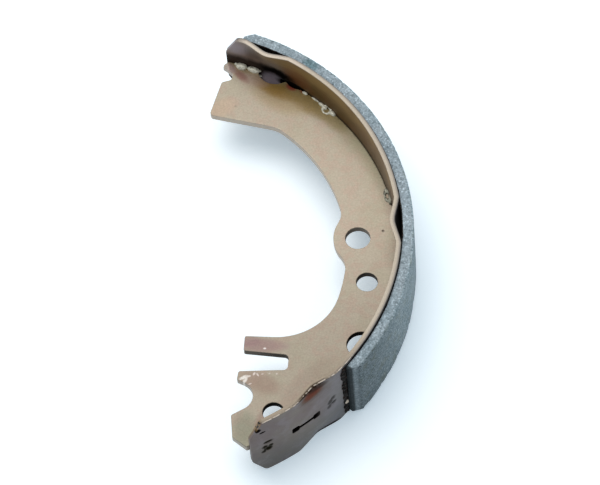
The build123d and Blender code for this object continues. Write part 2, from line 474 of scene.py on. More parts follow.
class Graph:
    """The node tree of one finish. Places are read in millimetres about the drum's axis."""

    def __init__(self, name: str) -> None:
        """Start an empty material."""
        self.material = bpy.data.materials.new(name)
        self.material.use_nodes = True
        self.tree = self.material.node_tree
        self.tree.nodes.clear()

    def add(
        self, kind: str, settings: dict[str, object] | None = None,
        sockets: dict[str | int, Value] | None = None, output: str | int = 0,
    ) -> Wire:
        """Add a node, set it, and feed its sockets.

        Args:
            kind: Blender's name of the node.
            settings: its settings.
            sockets: values or wires by the socket's name or number.
            output: the output that is wanted.

        Returns:
            That output.
        """
        node = self.tree.nodes.new(kind)
        for key, value in (settings or {}).items():
            setattr(node, key, value)
        for key, value in (sockets or {}).items():
            if isinstance(value, Wire):
                self.tree.links.new(value.socket, node.inputs[key])
            else:
                node.inputs[key].default_value = value
        return Wire(self, node.outputs[output] if node.outputs else None)

    def place(self) -> Wire:
        """Where a point is, in millimetres about the drum's axis."""
        there = self.add("ShaderNodeTexCoord", output="Object")
        return self.add(
            "ShaderNodeMapping", {"vector_type": "POINT"},
            {"Vector": there, "Location": (-DRUM_AXIS_X, 0.0, 0.0), "Scale": (1 / MM, 1 / MM, 1 / MM)},
        )

    def flat_place(self) -> Wire:
        """Where a point lies on the flat blank: along the arc, across the strip, through the sheet."""
        return self.add("ShaderNodeAttribute", {"attribute_name": "flat"}, output="Vector")

    def split(self, vector: Wire) -> tuple[Wire, Wire, Wire]:
        """The three parts of a vector."""
        first = self.add("ShaderNodeSeparateXYZ", None, {0: vector})
        outputs = first.socket.node.outputs
        return (first, Wire(self, outputs[1]), Wire(self, outputs[2]))

    def noise(self, vector: Wire, size: float, detail: float = 3.0, rough: float = 0.55) -> Wire:
        """Smooth noise.

        Args:
            vector: where it is read, in millimetres.
            size: size of its lumps.
            detail: layers of finer noise.
            rough: strength of the finer layers.

        Returns:
            The noise, about 0.5 and mostly from 0.3 to 0.7.
        """
        sockets = {"Vector": vector, "Scale": 1.0 / size, "Detail": detail, "Roughness": rough}
        return self.add("ShaderNodeTexNoise", {"noise_dimensions": "3D"}, sockets)

    def cells(self, vector: Wire, size: float) -> Wire:
        """Distance to the nearest of many scattered points.

        Args:
            vector: where it is read, in millimetres.
            size: about how far the points are apart.

        Returns:
            The distance, in parts of the size.
        """
        return self.add("ShaderNodeTexVoronoi", None, {"Vector": vector, "Scale": 1.0 / size})

    def mix(self, first: Wire | Paint, second: Wire | Paint, share: Wire | float) -> Wire:
        """Mix two colours.

        Args:
            first: the colour at a share of 0.
            second: the colour at a share of 1.
            share: how much of the second there is.

        Returns:
            The mixed colour.
        """
        pair = [c if isinstance(c, Wire) else linear(c) for c in (first, second)]
        return self.add("ShaderNodeMix", {"data_type": "RGBA"}, {0: share, 6: pair[0], 7: pair[1]}, output=2)

    def scaled(self, colour: Wire, strength: Wire | float) -> Wire:
        """Make a colour lighter or darker by a factor."""
        return self.add("ShaderNodeVectorMath", {"operation": "SCALE"}, {0: colour, "Scale": strength})

    def bump(self, height: Wire, depth: float) -> Wire:
        """Turn a height into a surface direction.

        Args:
            height: the height, from 0 to 1.
            depth: how far 1 stands above 0, in millimetres.

        Returns:
            The direction.
        """
        return self.add("ShaderNodeBump", None, {"Height": height, "Strength": 1.0, "Distance": depth * MM})

    def coat(self, **sockets: Value) -> Wire:
        """Add a Principled shader.

        Args:
            sockets: its sockets, with underscores for spaces.

        Returns:
            The shader.
        """
        named = {key.replace("_", " "): value for key, value in sockets.items()}
        return self.add("ShaderNodeBsdfPrincipled", None, named)

    def surface(
        self, shader: Wire, dirt_and_shade: Wire | None = None, dirt_and_shade_colour: Wire | None = None,
    ) -> bpy.types.Material:
        """End the tree in a surface.

        Args:
            shader: the clean surface's shader.
            dirt_and_shade: how much a dull dark coat covers it, for dirt and for painted shade.
            dirt_and_shade_colour: that coat's colour.

        Returns:
            The material.
        """
        if dirt_and_shade is not None:
            dull = self.coat(Base_Color=dirt_and_shade_colour, Roughness=0.95, Specular_IOR_Level=0.0)
            shader = self.add("ShaderNodeMixShader", None, {0: dirt_and_shade, 1: shader, 2: dull})
        self.add("ShaderNodeOutputMaterial", None, {"Surface": shader})
        return self.material


class Layers:
    """A colour that is laid on in layers, the last one on top."""

    def __init__(self, graph: Graph, base: Wire | Paint) -> None:
        """Start from a base colour."""
        self.graph = graph
        self.top = base

    def lay(self, paint: Wire | Paint, share: Wire | float) -> None:
        """Lay a colour over what is there.

        Args:
            paint: the new colour.
            share: how much of it shows, from 0 to 1.
        """
        self.top = self.graph.mix(self.top, paint, share)

    def shade(self, strength: Wire | float) -> None:
        """Make what is there lighter or darker by a factor."""
        self.top = self.graph.scaled(self.top, strength)


def sweep(along: Wire, low: float, high: float, radius: float = RIM_OUTER) -> Wire:
    """Run smoothly from 0 at one angle about the drum's axis to 1 at another.

    Args:
        along: place along the arc of a flat blank.
        low: angle where the run is 0.
        high: angle where the run is 1; it may be less than low.
        radius: radius that the blank is rolled to.

    Returns:
        The run, from 0 to 1.
    """
    return along.rise(arc(low, radius), arc(high, radius))


def oval(side: Wire, up: Wire, middle: Pair, reach: Pair) -> Wire:
    """Measure how far a place lies from the middle of an oval.

    Args:
        side: place in the oval's first direction.
        up: place in its second direction.
        middle: the oval's middle.
        reach: its half lengths.

    Returns:
        The square of the distance, 1 on the oval's outline.
    """
    over = (side - middle[0]) / reach[0]
    above = (up - middle[1]) / reach[1]
    return over * over + above * above


@dataclass(frozen=True)
class SoftPatch:
    """A soft-edged patch on the flat of the web, about the drum's axis."""

    place: Pair
    reach: Pair
    turn: float
    paint: Paint
    strength: float
    ragged: float = 0.5
    soft: float = 0.3


@dataclass(frozen=True)
class StampedSteel:
    """Finish of the web: stamped steel under a thin tan lacquer, stained and scuffed, with painted light,
    shade and reflection near the rim, on its walls and along its length.
    """

    base: Paint = (174, 161, 142)
    warm: Paint = (180, 158, 140)
    green: Paint = (166, 158, 134)
    junction_rim_reflection: Paint = (156, 131, 80)
    junction_tint_and_light: Paint = (190, 184, 146)
    seam: Paint = (62, 50, 34)
    edge: Paint = (192, 178, 164)
    # painted shade: near black laid on the plate's walls that lie in shade
    wall_shade_paint: Paint = (40, 41, 41)
    shaded_walls: tuple[Quad, ...] = (
        (78.0, 0.0, 5.2, 0.62),
        (80.2, -20.2, 4.5, 0.85),
        (41.2, -74.1, 4.5, 0.97),
        (76.1, -47.5, 5.8, 0.97),
        (35.4, -47.6, 4.0, 0.68),
        (41.0, -48.6, 3.6, 0.74),
        (45.0, -49.6, 4.0, 0.8),
    )
    stains_and_reflections: tuple[SoftPatch, ...] = (
        # the first four, golden, near the rim at the heel, are painted shade and reflection of the rim's
        # brown inner face; the others are marks on the lacquer
        SoftPatch((52.0, 69.2), (13.0, 7.0), 144.0, (158, 132, 86), 0.6, 0.4, 0.8),
        SoftPatch((49.4, 73.0), (9.0, 3.6), 144.0, (140, 106, 36), 0.9, 0.4, 0.7),
        SoftPatch((62.4, 65.2), (11.0, 4.4), 135.0, (140, 114, 56), 0.75, 0.4, 0.7),
        SoftPatch((70.8, 57.0), (9.5, 3.4), 129.0, (146, 126, 78), 0.6, 0.4, 0.7),
        SoftPatch((56.5, 73.0), (2.6, 1.8), 142.0, (140, 50, 32), 0.9, 0.5, 0.5),
        SoftPatch((61.0, 70.2), (2.2, 1.0), 142.0, (150, 84, 56), 0.8, 0.3, 0.4),
        SoftPatch((41.0, 78.4), (7.0, 3.2), 150.0, (172, 144, 130), 0.55, 0.4, 0.7),
        SoftPatch((36.6, 80.6), (4.2, 1.7), 126.0, (138, 94, 82), 0.8, 0.6, 0.9),
        SoftPatch((38.0, 83.6), (4.6, 1.8), 146.0, (158, 136, 104), 0.7, 0.4, 0.5),
        SoftPatch((32.2, 84.6), (3.4, 2.2), 126.0, (160, 132, 134), 0.7, 0.3, 0.5),
        SoftPatch((28.6, 65.8), (7.0, 4.5), 30.0, (196, 158, 132), 0.35),
        SoftPatch((38.4, -44.8), (10.5, 3.4), -7.0, (150, 112, 114), 0.6),
        SoftPatch((33.4, -42.4), (6.0, 2.6), -7.0, (146, 108, 112), 0.45),
        SoftPatch((37.0, -61.0), (9.0, 4.6), -30.0, (150, 116, 100), 0.5),
        SoftPatch((30.2, -80.9), (5.4, 8.5), 0.0, (134, 136, 114), 0.65),
        SoftPatch((36.4, -78.6), (2.8, 6.5), -20.0, (140, 104, 92), 0.5),
        SoftPatch((55.0, -62.0), (16.0, 5.0), 42.0, (150, 128, 112), 0.35),
    )
    scuffs: tuple[SoftPatch, ...] = (
        SoftPatch((30.6, -58.2), (1.9, 0.8), 25.0, (238, 232, 224), 0.95, 0.9),
        SoftPatch((31.2, -59.6), (1.7, 0.7), 55.0, (236, 228, 220), 0.9, 0.9),
        SoftPatch((32.6, -57.8), (1.0, 0.5), 5.0, (232, 222, 214), 0.8, 0.9),
        SoftPatch((34.8, -57.0), (0.8, 0.45), 60.0, (228, 214, 206), 0.85, 0.9),
        SoftPatch((36.1, -57.4), (0.9, 0.4), 120.0, (228, 214, 206), 0.8, 0.9),
        SoftPatch((37.9, -57.3), (0.6, 0.3), 10.0, (220, 206, 198), 0.7, 0.9),
        SoftPatch((40.6, -57.3), (0.5, 0.3), 10.0, (214, 200, 192), 0.6, 0.9),
        SoftPatch((43.4, -57.7), (0.45, 0.35), 0.0, (226, 214, 206), 0.7, 0.9),
        SoftPatch((33.0, -61.2), (0.8, 0.35), 20.0, (222, 208, 200), 0.75, 0.9),
        SoftPatch((39.4, -46.2), (0.65, 0.45), 0.0, (240, 232, 226), 0.9, 0.6),
        SoftPatch((88.0, 2.3), (0.7, 0.7), 0.0, (112, 100, 90), 0.7, 0.2),
        SoftPatch((33.7, 65.8), (0.7, 0.5), 0.0, (150, 138, 120), 0.6, 0.4),
    )

    def patch(self, graph: Graph, x: Wire, y: Wire, wobble: Wire, patch_spec: SoftPatch) -> Wire:
        """Mask one soft patch.

        Args:
            graph: the finish's tree.
            x: place along the line through the hold-down hole.
            y: place across it.
            wobble: noise that frays the edge.
            patch_spec: the patch.

        Returns:
            The mask, from 0 to the patch's strength.
        """
        turn = radians(patch_spec.turn)
        across = x - patch_spec.place[0]
        up = y - patch_spec.place[1]
        along = (across * cos(turn) + up * sin(turn)) / patch_spec.reach[0]
        aside = (up * cos(turn) - across * sin(turn)) / patch_spec.reach[1]
        spread = along * along + aside * aside + (wobble - 0.5) * (2.0 * patch_spec.ragged)
        return spread.rise(1.0 + patch_spec.soft, 0.2 - 0.3 * patch_spec.soft) * patch_spec.strength

    def material(self) -> bpy.types.Material:
        """Build the finish."""
        graph = Graph("web_lacquered_steel")
        place = graph.place()
        x, y, z = graph.split(place)
        radius = (x * x + y * y).math("SQRT")
        angle = y.math("ARCTAN2", x) * degrees(1.0)
        fine = graph.noise(place, 0.7, 2.0, 0.6)
        mottle = graph.noise(place, 3.2, 3.0, 0.6)
        cloud = graph.noise(place, 16.0, 2.0)
        colour = Layers(graph, self.base)
        colour.lay(self.warm, mottle.rise(0.44, 0.6) * 0.7)
        colour.lay(self.green, cloud.rise(0.46, 0.62) * 0.35)
        depth_in = RIM_INNER - radius
        near_rim = (depth_in + (mottle - 0.5) * 3.0).rise(6.5, 0.4)
        upper = angle.rise(8.0, 24.0)
        heel = angle.rise(26.0, 44.0)
        # painted light and reflection along the rim: a greenish band laid lighter than the plate against the
        # corner's shade, and at the heel a golden band of painted reflection of the rim's brown inner face
        colour.lay(self.junction_tint_and_light, near_rim * upper * 0.5)
        colour.lay(self.junction_rim_reflection, near_rim * heel * 0.6)
        for patch_spec in self.stains_and_reflections:
            colour.lay(patch_spec.paint, self.patch(graph, x, y, mottle, patch_spec))
        colour.lay(self.seam, (depth_in + (fine - 0.5) * 0.8).rise(0.6, 0.15) * 0.45)
        # painted light: the plate's cut walls are laid paler than its faces
        wall = abs(z).rise(1.34, 1.2)
        colour.lay(self.edge, wall * 0.7)
        # painted shade: the walls near the rim and the walls of the holes in shaded_walls are laid near
        # black
        painted_wall_shade = depth_in.rise(2.2, 1.4) * angle.rise(63.0, 60.0) * angle.rise(-68.0, -66.0)
        for across, up, reach, share in self.shaded_walls:
            aside = x - across
            over = y - up
            painted_wall_shade = painted_wall_shade.most((aside * aside + over * over).math("LESS_THAN", reach * reach) * share)
        painted_wall_shade = painted_wall_shade * wall
        colour.lay(self.wall_shade_paint, painted_wall_shade)
        # painted shade: the plate is laid darker towards the toe and a little towards the heel
        shade = 1.0 - y.rise(14.0, -52.0) * 0.26 - y.rise(24.0, 84.0) * 0.09
        colour.shade((fine * 0.5 + 0.75) * shade)
        scuff_mask: Wire | None = None
        for patch_spec in self.scuffs:
            mask = self.patch(graph, x, y, fine, patch_spec)
            colour.lay(patch_spec.paint, mask)
            scuff_mask = mask if scuff_mask is None else scuff_mask.most(mask)
        rough = 0.36 + mottle * 0.16 + scuff_mask * 0.2
        pits = graph.bump(graph.noise(place, 0.5, 2.0), 0.02)
        steel = graph.coat(Base_Color=colour.top, Metallic=0.35, Roughness=rough, Normal=pits)
        return graph.surface(steel, painted_wall_shade, colour.top)


@dataclass(frozen=True)
class RolledSteel:
    """Finish of the rim: the same lacquer on rolled strip, brown inside and pale on its edges, with painted
    shade in its corners, slots and hollows and painted highlights on its edges.
    """

    inner: Paint = (129, 103, 62)
    inner_corner_shade: Paint = (92, 66, 26)
    inner_grey: Paint = (128, 114, 108)
    inner_shade: Paint = (40, 27, 20)
    inner_violet_shade: Paint = (92, 72, 78)
    inner_lilac: Paint = (152, 140, 148)
    inner_red: Paint = (120, 66, 36)
    inner_amber: Paint = (158, 126, 70)
    outer: Paint = (118, 107, 99)
    outer_violet: Paint = (112, 97, 95)
    outer_low_shade: Paint = (104, 100, 96)
    outer_blue: Paint = (122, 125, 132)
    outer_pale: Paint = (128, 120, 126)
    outer_brown: Paint = (102, 88, 74)
    edge: Paint = (190, 177, 160)
    edge_shade: Paint = (144, 133, 124)
    edge_shade_line: Paint = (100, 92, 86)
    edge_tan: Paint = (150, 135, 117)
    edge_gold: Paint = (150, 120, 80)
    edge_highlight: Paint = (232, 216, 202)
    rust: Paint = (112, 46, 14)
    rust_halo: Paint = (80, 60, 34)
    brown_recess_shade: Paint = (52, 36, 28)
    # near black, laid for black dirt and for painted shade
    soot_and_shade: Paint = (14, 11, 9)
    olive: Paint = (24, 23, 13)

    crop: Quad = (-67.3, 14.55, 5.2, 10.83)
    smudges: tuple[Quad, ...] = ((-68.2, 13.4, 1.5, 1.4), (-67.2, 11.0, 1.6, 0.7), (-69.0, 16.2, 0.9, 1.2))
    dashes: tuple[tuple[float, float, float, float, float], ...] = (
        (-66.1, 2.4, 2.2, 1.0, 0.95),
        (-67.0, -0.6, 1.5, 1.4, 0.95),
        (-66.2, -2.6, 2.0, 1.4, 1.0),
        (-65.5, -0.9, 1.1, 1.2, 0.95),
        (-67.4, -3.5, 1.1, 1.0, 0.9),
        (-47.8, 2.9, 1.5, 1.4, 0.65),
        (-48.8, 1.4, 1.5, 1.5, 0.65),
        (-47.7, -0.6, 1.6, 1.3, 0.75),
        (-49.1, -1.3, 1.4, 1.5, 0.55),
    )

    @staticmethod
    def ragged_oval(
        along: Wire, across: Wire, wobble: Wire, place: Pair, reach: Pair, soft: float = 0.0,
    ) -> Wire:
        """Mask a ragged oval on the flat blank.

        Args:
            along: place along the arc.
            across: place across the strip.
            wobble: noise that frays the edge.
            place: its angle about the drum's axis and its height.
            reach: its half length and half height.
            soft: how widely its edge fades.

        Returns:
            The mask, from 0 to 1.
        """
        spread = oval(along, across, (arc(place[0]), place[1]), reach) + (wobble - 0.5) * 0.9
        return spread.rise(1.0 + soft, 0.3 - 0.5 * soft)

    def past_crop(self, along: Wire, across: Wire) -> Wire:
        """Measure how far a place lies past the line of the toe's upper cropped corner.

        Args:
            along: place along the arc.
            across: place across the strip.

        Returns:
            The distance, roughly in millimetres.
        """
        angle, turned, raised, length = self.crop
        return ((angle - along / arc(1.0)) * turned + (across - HALF_RIM) * raised) / length

    def material(self) -> bpy.types.Material:
        """Build the finish."""
        graph = Graph("rim_lacquered_steel")
        flat = graph.flat_place()
        along, across, through = graph.split(flat)
        spot = partial(self.ragged_oval, along, across)
        turn = partial(sweep, along)
        fine = graph.noise(flat, 0.7, 2.0, 0.6)
        mottle = graph.noise(flat, 3.6, 3.0, 0.6)
        cloud = graph.noise(flat, 18.0, 2.0)
        streak_place = graph.add(
            "ShaderNodeMapping", {"vector_type": "POINT"}, {"Vector": flat, "Scale": (0.12, 1.6, 1.0)},
        )
        streak = graph.noise(streak_place, 1.6, 3.0, 0.6)
        worn = graph.noise(flat, 1.3, 2.0, 0.6)
        outside = through.rise(-1.4, -0.6)
        height = abs(across)
        heel = turn(50.0, 66.0)
        # painted shade: the inner face is laid darker towards the web, in the corner's shade
        inner = Layers(graph, self.inner_corner_shade)
        inner.lay(self.inner, (height + (streak - 0.5) * 9.0).rise(5.0, 15.0))
        inner.lay(self.inner_grey, heel * 0.85)
        inner.lay(self.inner_grey, turn(34.0, 6.0) * 0.45)
        end = turn(48.0, 55.0)
        inner.lay(self.inner_amber, cloud.rise(0.42, 0.6) * height.rise(9.0, 15.0) * (1.0 - heel) * 0.4)
        inner.lay(self.inner_red, cloud.rise(0.55, 0.4) * turn(10.0, 30.0) * 0.2)
        lilac = spot(mottle, (67.4, 12.8), (5.0, 4.2), 0.6)
        inner.lay(self.inner_lilac, lilac * 0.6)
        # painted shade: near the heel end the lower part of the inner face and a flank of the ledge mark,
        # and all of the inner face near and below the web, are laid dark
        heel_low_shade = (across + (mottle - 0.5) * 2.5).rise(9.2, 5.6) * end * 0.95
        inner.lay(self.inner_shade, heel_low_shade)
        inner.lay(self.inner_shade, spot(mottle, (62.8, 12.4), (4.4, 5.0), 0.5) * 0.5)
        # painted shade: near-black spots around the heel's ledge mark and behind the slots, near the web
        shade_spots = spot(mottle, (57.0, 4.4), (9.4, 3.4), 0.3)
        inner.lay(self.inner_shade, across.rise(3.6, 1.6) * 0.75)
        inner.lay(self.inner_red, spot(streak, (51.0, 8.5), (7.0, 5.5), 0.6) * 0.45)
        for angle in SLOT_ANGLES:
            shade_spots = shade_spots.most(spot(mottle, (angle, 1.2), (7.8, 2.8)))
        inner.lay(self.soot_and_shade, shade_spots)
        # painted shade: the inner face below the web, seen through the heel's notch, laid dark violet
        bulge = spot(mottle, (58.1, -2.2), (6.2, 6.4), 0.15)
        inner.lay(self.inner_violet_shade, bulge)
        inner.lay(self.edge, height.rise(16.6, 17.6) * 0.3)
        outer = Layers(graph, self.outer)
        outer.lay(self.outer_violet, cloud.rise(0.4, 0.6))
        # painted shade: the outer face is laid darker and greyer towards its lower edge, and darker towards
        # the toe end
        outer.lay(self.outer_low_shade, across.rise(2.0, -14.0) * 0.6)
        outer.lay(self.outer_blue, turn(-56.0, -46.0) * 0.4)
        outer.shade(1.0 - across.rise(8.0, -10.0) * 0.16 - turn(-58.0, -66.0) * 0.15)
        outer.shade(streak * 0.3 + 0.85)
        blotch = graph.noise(flat, 7.0, 3.0, 0.6)
        outer.lay(self.outer_pale, blotch.rise(0.5, 0.66) * 0.35)
        outer.lay(self.outer_brown, blotch.rise(0.46, 0.32) * 0.35)
        covered = outside * turn(-41.4, -40.6) * turn(58.0, 57.0) * height.rise(17.4, 17.0)
        outer.lay(self.soot_and_shade, covered * 0.9)
        colour = Layers(graph, inner.top)
        colour.lay(outer.top, outside)
        halo = spot(streak, (-53.0, 14.8), (7.0, 3.2), 0.6) * outside
        tail = spot(mottle, (-55.4, 14.2), (2.6, 1.6), 0.5) * outside
        rusted = spot(fine, (-53.1, 15.0), (4.6, 2.2), 0.8) * outside
        # painted shade: a dark brown line under the edge beside the rust, near black in the hollow of the
        # toe's upper ledge mark, and near black along the lower edge at the toe's lower ledge mark
        recess_flank_shade = spot(mottle, (-51.2, 15.9), (4.6, 1.3), 0.6) * outside
        recess_shade = spot(worn, (-53.4, 17.4), (8.5, 0.8), 0.3) * outside
        under = spot(mottle, (-49.4, -17.5), (8.0, 1.9), 0.3) * outside
        colour.lay(self.rust_halo, halo.most(tail) * 0.75)
        colour.lay(self.rust, rusted)
        colour.lay(self.brown_recess_shade, recess_flank_shade * 0.85)
        colour.lay(self.soot_and_shade, recess_shade.most(under) * 0.85)
        black = recess_shade.most(under).most(recess_flank_shade * 0.5).most(covered * 0.9)
        black = black.most(shade_spots.most(heel_low_shade * 0.75) * (1.0 - bulge) * (1.0 - outside))
        for angle in SLOT_ANGLES:
            # painted shade: the slots' walls are laid near black
            slot_shade = spot(cloud, (angle, 0.0), (10.0, 4.2)) * through.rise(-0.01, -0.1)
            colour.lay(self.soot_and_shade, slot_shade)
            black = black.most(slot_shade)
        for angle, level, length, tall, strength in self.dashes:
            dash = spot(fine * 1.4 - 0.2, (angle, level), (length, tall), 0.25) * outside * strength
            colour.lay(self.olive, dash)
            black = black.most(dash)
        for angle, level, length, tall in self.smudges:
            smudge = spot(fine, (angle, level), (length, tall)) * outside
            colour.lay(self.soot_and_shade, smudge)
            black = black.most(smudge)
        rim_edge = height.rise(17.35, 17.62)
        toe = turn(-30.0, -46.0)
        edge = Layers(graph, self.edge)
        edge.lay(self.edge_tan, toe)
        edge.lay(self.edge_tan, fine.rise(0.42, 0.6) * (toe * 0.4 + 0.25))
        # painted highlight: the edge is laid paler and creamier towards the heel's ledge mark
        edge.lay(self.edge_highlight, turn(46.0, 52.0) * 0.3)
        # painted shade: the edge is laid darker at the heel corner and on its outer side, with a dark line
        # of painted shade where it meets the lining
        edge.lay(self.edge_shade, turn(64.6, 66.4) * 0.8)
        edge.lay(self.edge_shade, (through + (mottle - 0.5) * 0.6).rise(-1.0, -0.5) * (1.0 - toe) * 0.6)
        edge.lay(self.edge_shade_line, through.rise(-0.42, -0.15) * (1.0 - toe) * 0.8)
        colour.lay(edge.top, rim_edge * (mottle * 0.5 + 0.68))
        # painted highlight: pale glints along the top of the edge at the toe, broken into patches by the
        # worn noise
        crest_highlight = rim_edge * through.rise(-0.32, -0.2) * toe
        colour.lay(self.edge_highlight, crest_highlight * worn.rise(0.49, 0.58) * 0.75)
        # painted shade: a dark line along the edge at the toe, broken into patches by the worn noise
        toe_edge_shade = abs(through + 0.6).rise(0.3, 0.1) * rim_edge * toe
        toe_edge_shade = toe_edge_shade * (spot(fine, (-52.0, 17.0), (13.0, 6.0), 0.6) * 0.5 + 0.2)
        colour.lay(self.inner_shade, toe_edge_shade * worn.rise(0.44, 0.54))
        past = self.past_crop(along, across)
        burr = past.rise(-0.5, -0.2) * across.rise(12.8, 14.4) * through.rise(-1.9, -1.7)
        colour.lay(self.edge_gold, burr * worn.rise(0.42, 0.5) * 0.55)
        colour.lay(self.soot_and_shade, burr * worn.rise(0.5, 0.42))
        # painted shade: the edge is laid dark brown where it dips at the toe's upper ledge mark
        recess_edge_shade = spot(fine, (-53.0, 17.4), (7.5, 1.6), 0.2) * through.rise(-1.1, -0.5)
        recess_edge_shade = recess_edge_shade * worn.rise(0.58, 0.44)
        colour.lay(self.brown_recess_shade, recess_edge_shade * 0.85)
        black = black.most(recess_edge_shade)
        colour.shade(fine * 0.2 + 0.9)
        rough = 0.42 + mottle * 0.14 + rusted * 0.3
        metal = 0.35 - outside * 0.15
        pits = graph.bump(streak + fine * 0.6, 0.02)
        steel = graph.coat(Base_Color=colour.top, Metallic=metal, Roughness=rough, Normal=pits)
        return graph.surface(steel, black, colour.top)


@dataclass(frozen=True)
class FrictionMix:
    """Finish of the lining: moulded friction material, grey with pale and dark grains."""

    base: Paint = (156, 167, 174)
    light: Paint = (214, 227, 235)
    dark: Paint = (64, 82, 88)
    ground: Paint = (130, 145, 153)
    teal: Paint = (92, 122, 128)
    earthy: Paint = (112, 118, 104)
    end: Paint = (16, 24, 26)
    patch: Quad = (48.4, -2.2, 4.2, 2.2)

    def material(self) -> bpy.types.Material:
        """Build the finish."""
        graph = Graph("friction_material")
        flat = graph.flat_place()
        along, across, through = graph.split(flat)
        turn = partial(sweep, along, radius=LINING_FACE)
        fine = graph.noise(flat, 0.75, 3.0, 0.65)
        clots = graph.noise(flat, 1.7, 3.0, 0.65)
        cloud = graph.noise(flat, 14.0, 2.0)
        grains = graph.cells(flat, 1.1)
        colour = Layers(graph, self.base)
        colour.lay(self.ground, cloud.rise(0.4, 0.62) * 0.6)
        colour.lay(self.dark, clots.rise(0.5, 0.66) * 0.35)
        colour.lay(self.light, grains.rise(0.5, 0.2) * fine.rise(0.44, 0.6) * 0.4)
        outer_face = through.rise(-1.0, -0.3)
        coarse = graph.noise(flat, 1.0, 4.0, 0.85)
        specks = graph.cells(flat, 0.8)
        colour.lay(self.teal, outer_face * 0.2)
        colour.lay(self.dark, outer_face * coarse.rise(0.36, 0.66) * 0.8)
        colour.lay(self.dark, outer_face * specks.rise(0.4, 0.16) * cloud.rise(0.36, 0.6) * 0.4)
        colour.lay(self.light, outer_face * specks.rise(0.3, 0.7) * 0.12)
        blotch = graph.noise(flat, 5.0, 3.0, 0.6)
        colour.lay(self.earthy, outer_face * blotch.rise(0.5, 0.66) * 0.4)
        angle, level, *reach = self.patch
        spread = oval(along, through, (arc(angle, LINING_FACE), level), reach) + (coarse - 0.5) * 2.0
        colour.lay(self.teal, spread.rise(1.2, 0.2) * across.rise(12.0, 15.0) * 0.7)
        # painted light and shade: the outer face is laid brighter, and darker towards the toe end
        low = turn(-17.0, -42.0)
        colour.shade(1.12 - turn(28.0, 50.0) * 0.04)
        colour.shade(1.0 + outer_face * (0.27 - low * 0.6))
        # painted shade: the lower end's bevel is laid darker and its end face near black
        low_end = turn(-40.8, -42.0)
        colour.lay(self.ground, low_end * 0.4)
        colour.shade(1.0 - low_end * outer_face.most(through.rise(-2.6, -0.5)) * 0.42)
        end_face = turn(-42.2, -42.9) * through.rise(-0.6, -2.2)
        colour.lay(self.end, end_face * 0.9)
        colour.shade(fine * 2.0)
        height = clots * 0.5 + fine * 0.3 + coarse * 0.6
        dents = graph.bump(height, 0.16)
        moulded = graph.coat(
            Base_Color=colour.top, Roughness=0.74 + fine * 0.18, Specular_IOR_Level=0.2, Normal=dents,
        )
        return graph.surface(moulded)


@dataclass(frozen=True)
class CuredAdhesive:
    """Finish of the adhesive: cured dark, with a red-brown cast and pale flecks."""

    base: Paint = (17, 15, 14)
    brown: Paint = (58, 36, 28)
    fleck: Paint = (150, 138, 128)
    fleck_pale: Paint = (222, 208, 192)
    drip: Quad = (-43.9, -8.4, 1.0, 0.75)

    def material(self) -> bpy.types.Material:
        """Build the finish."""
        graph = Graph("cured_adhesive")
        flat = graph.flat_place()
        clots = graph.noise(flat, 1.1, 3.0, 0.65)
        fine = graph.noise(flat, 0.4, 2.0)
        colour = Layers(graph, self.base)
        colour.lay(self.brown, clots.rise(0.5, 0.68) * 0.7)
        colour.lay(self.fleck, fine.rise(0.64, 0.7) * 0.7)
        along, across, _ = graph.split(flat)
        angle, level, *reach = self.drip
        spread = oval(along, across, (arc(angle, FILM_FACE), level), reach) + (fine - 0.5)
        colour.lay(self.fleck_pale, spread.rise(1.0, 0.6))
        bumps = graph.bump(clots, 0.1)
        cured = graph.coat(
            Base_Color=colour.top, Roughness=0.5 + clots * 0.3, Specular_IOR_Level=0.1, Normal=bumps,
        )
        return graph.surface(cured)


@dataclass(frozen=True)
class WeldSplash:
    """Finish of the welds: metal squeezed out hot, dull pale with dark crevices."""

    pale: Paint = (230, 224, 206)
    grey: Paint = (150, 144, 128)
    dark: Paint = (50, 42, 32)
    tarnish: Paint = (132, 130, 112)

    def material(self) -> bpy.types.Material:
        """Build the finish."""
        graph = Graph("weld_metal")
        place = graph.place()
        clots = graph.noise(place, 1.2, 3.0, 0.6)
        fine = graph.noise(place, 0.4, 2.0)
        colour = Layers(graph, self.dark)
        colour.lay(self.grey, clots.rise(0.16, 0.3))
        colour.lay(self.pale, clots.rise(0.32, 0.46) * 0.9)
        x, y, _ = graph.split(place)
        dull = (y.math("ARCTAN2", x) * degrees(1.0)).rise(28.0, 20.0)
        colour.lay(self.tarnish, dull * 0.7)
        colour.lay(self.dark, dull * clots.rise(0.5, 0.38) * 0.6)
        colour.shade(fine * 0.4 + 0.8)
        pits = graph.bump(fine, 0.04)
        metal = graph.coat(Base_Color=colour.top, Metallic=0.3, Roughness=0.4 + fine * 0.2, Normal=pits)
        return graph.surface(metal)


@dataclass(frozen=True)
class PaleFloor:
    """Finish of the studio floor: white, and a little brighter to the camera than the light on it."""

    tone: Quad = (0.93, 0.945, 0.955, 1.0)
    glow: Paint = (140, 154, 164)

    def material(self) -> bpy.types.Material:
        """Build the finish."""
        graph = Graph("studio_floor")
        seen = graph.add("ShaderNodeLightPath", output="Is Camera Ray")
        for ray in ("Is Glossy Ray", "Is Transmission Ray"):
            seen = seen.most(graph.add("ShaderNodeLightPath", output=ray))
        glow = graph.mix((0, 0, 0), self.glow, seen)
        paper = graph.coat(
            Base_Color=self.tone, Roughness=0.9, Specular_IOR_Level=0.1,
            Emission_Color=glow, Emission_Strength=1.0,
        )
        return graph.surface(paper)


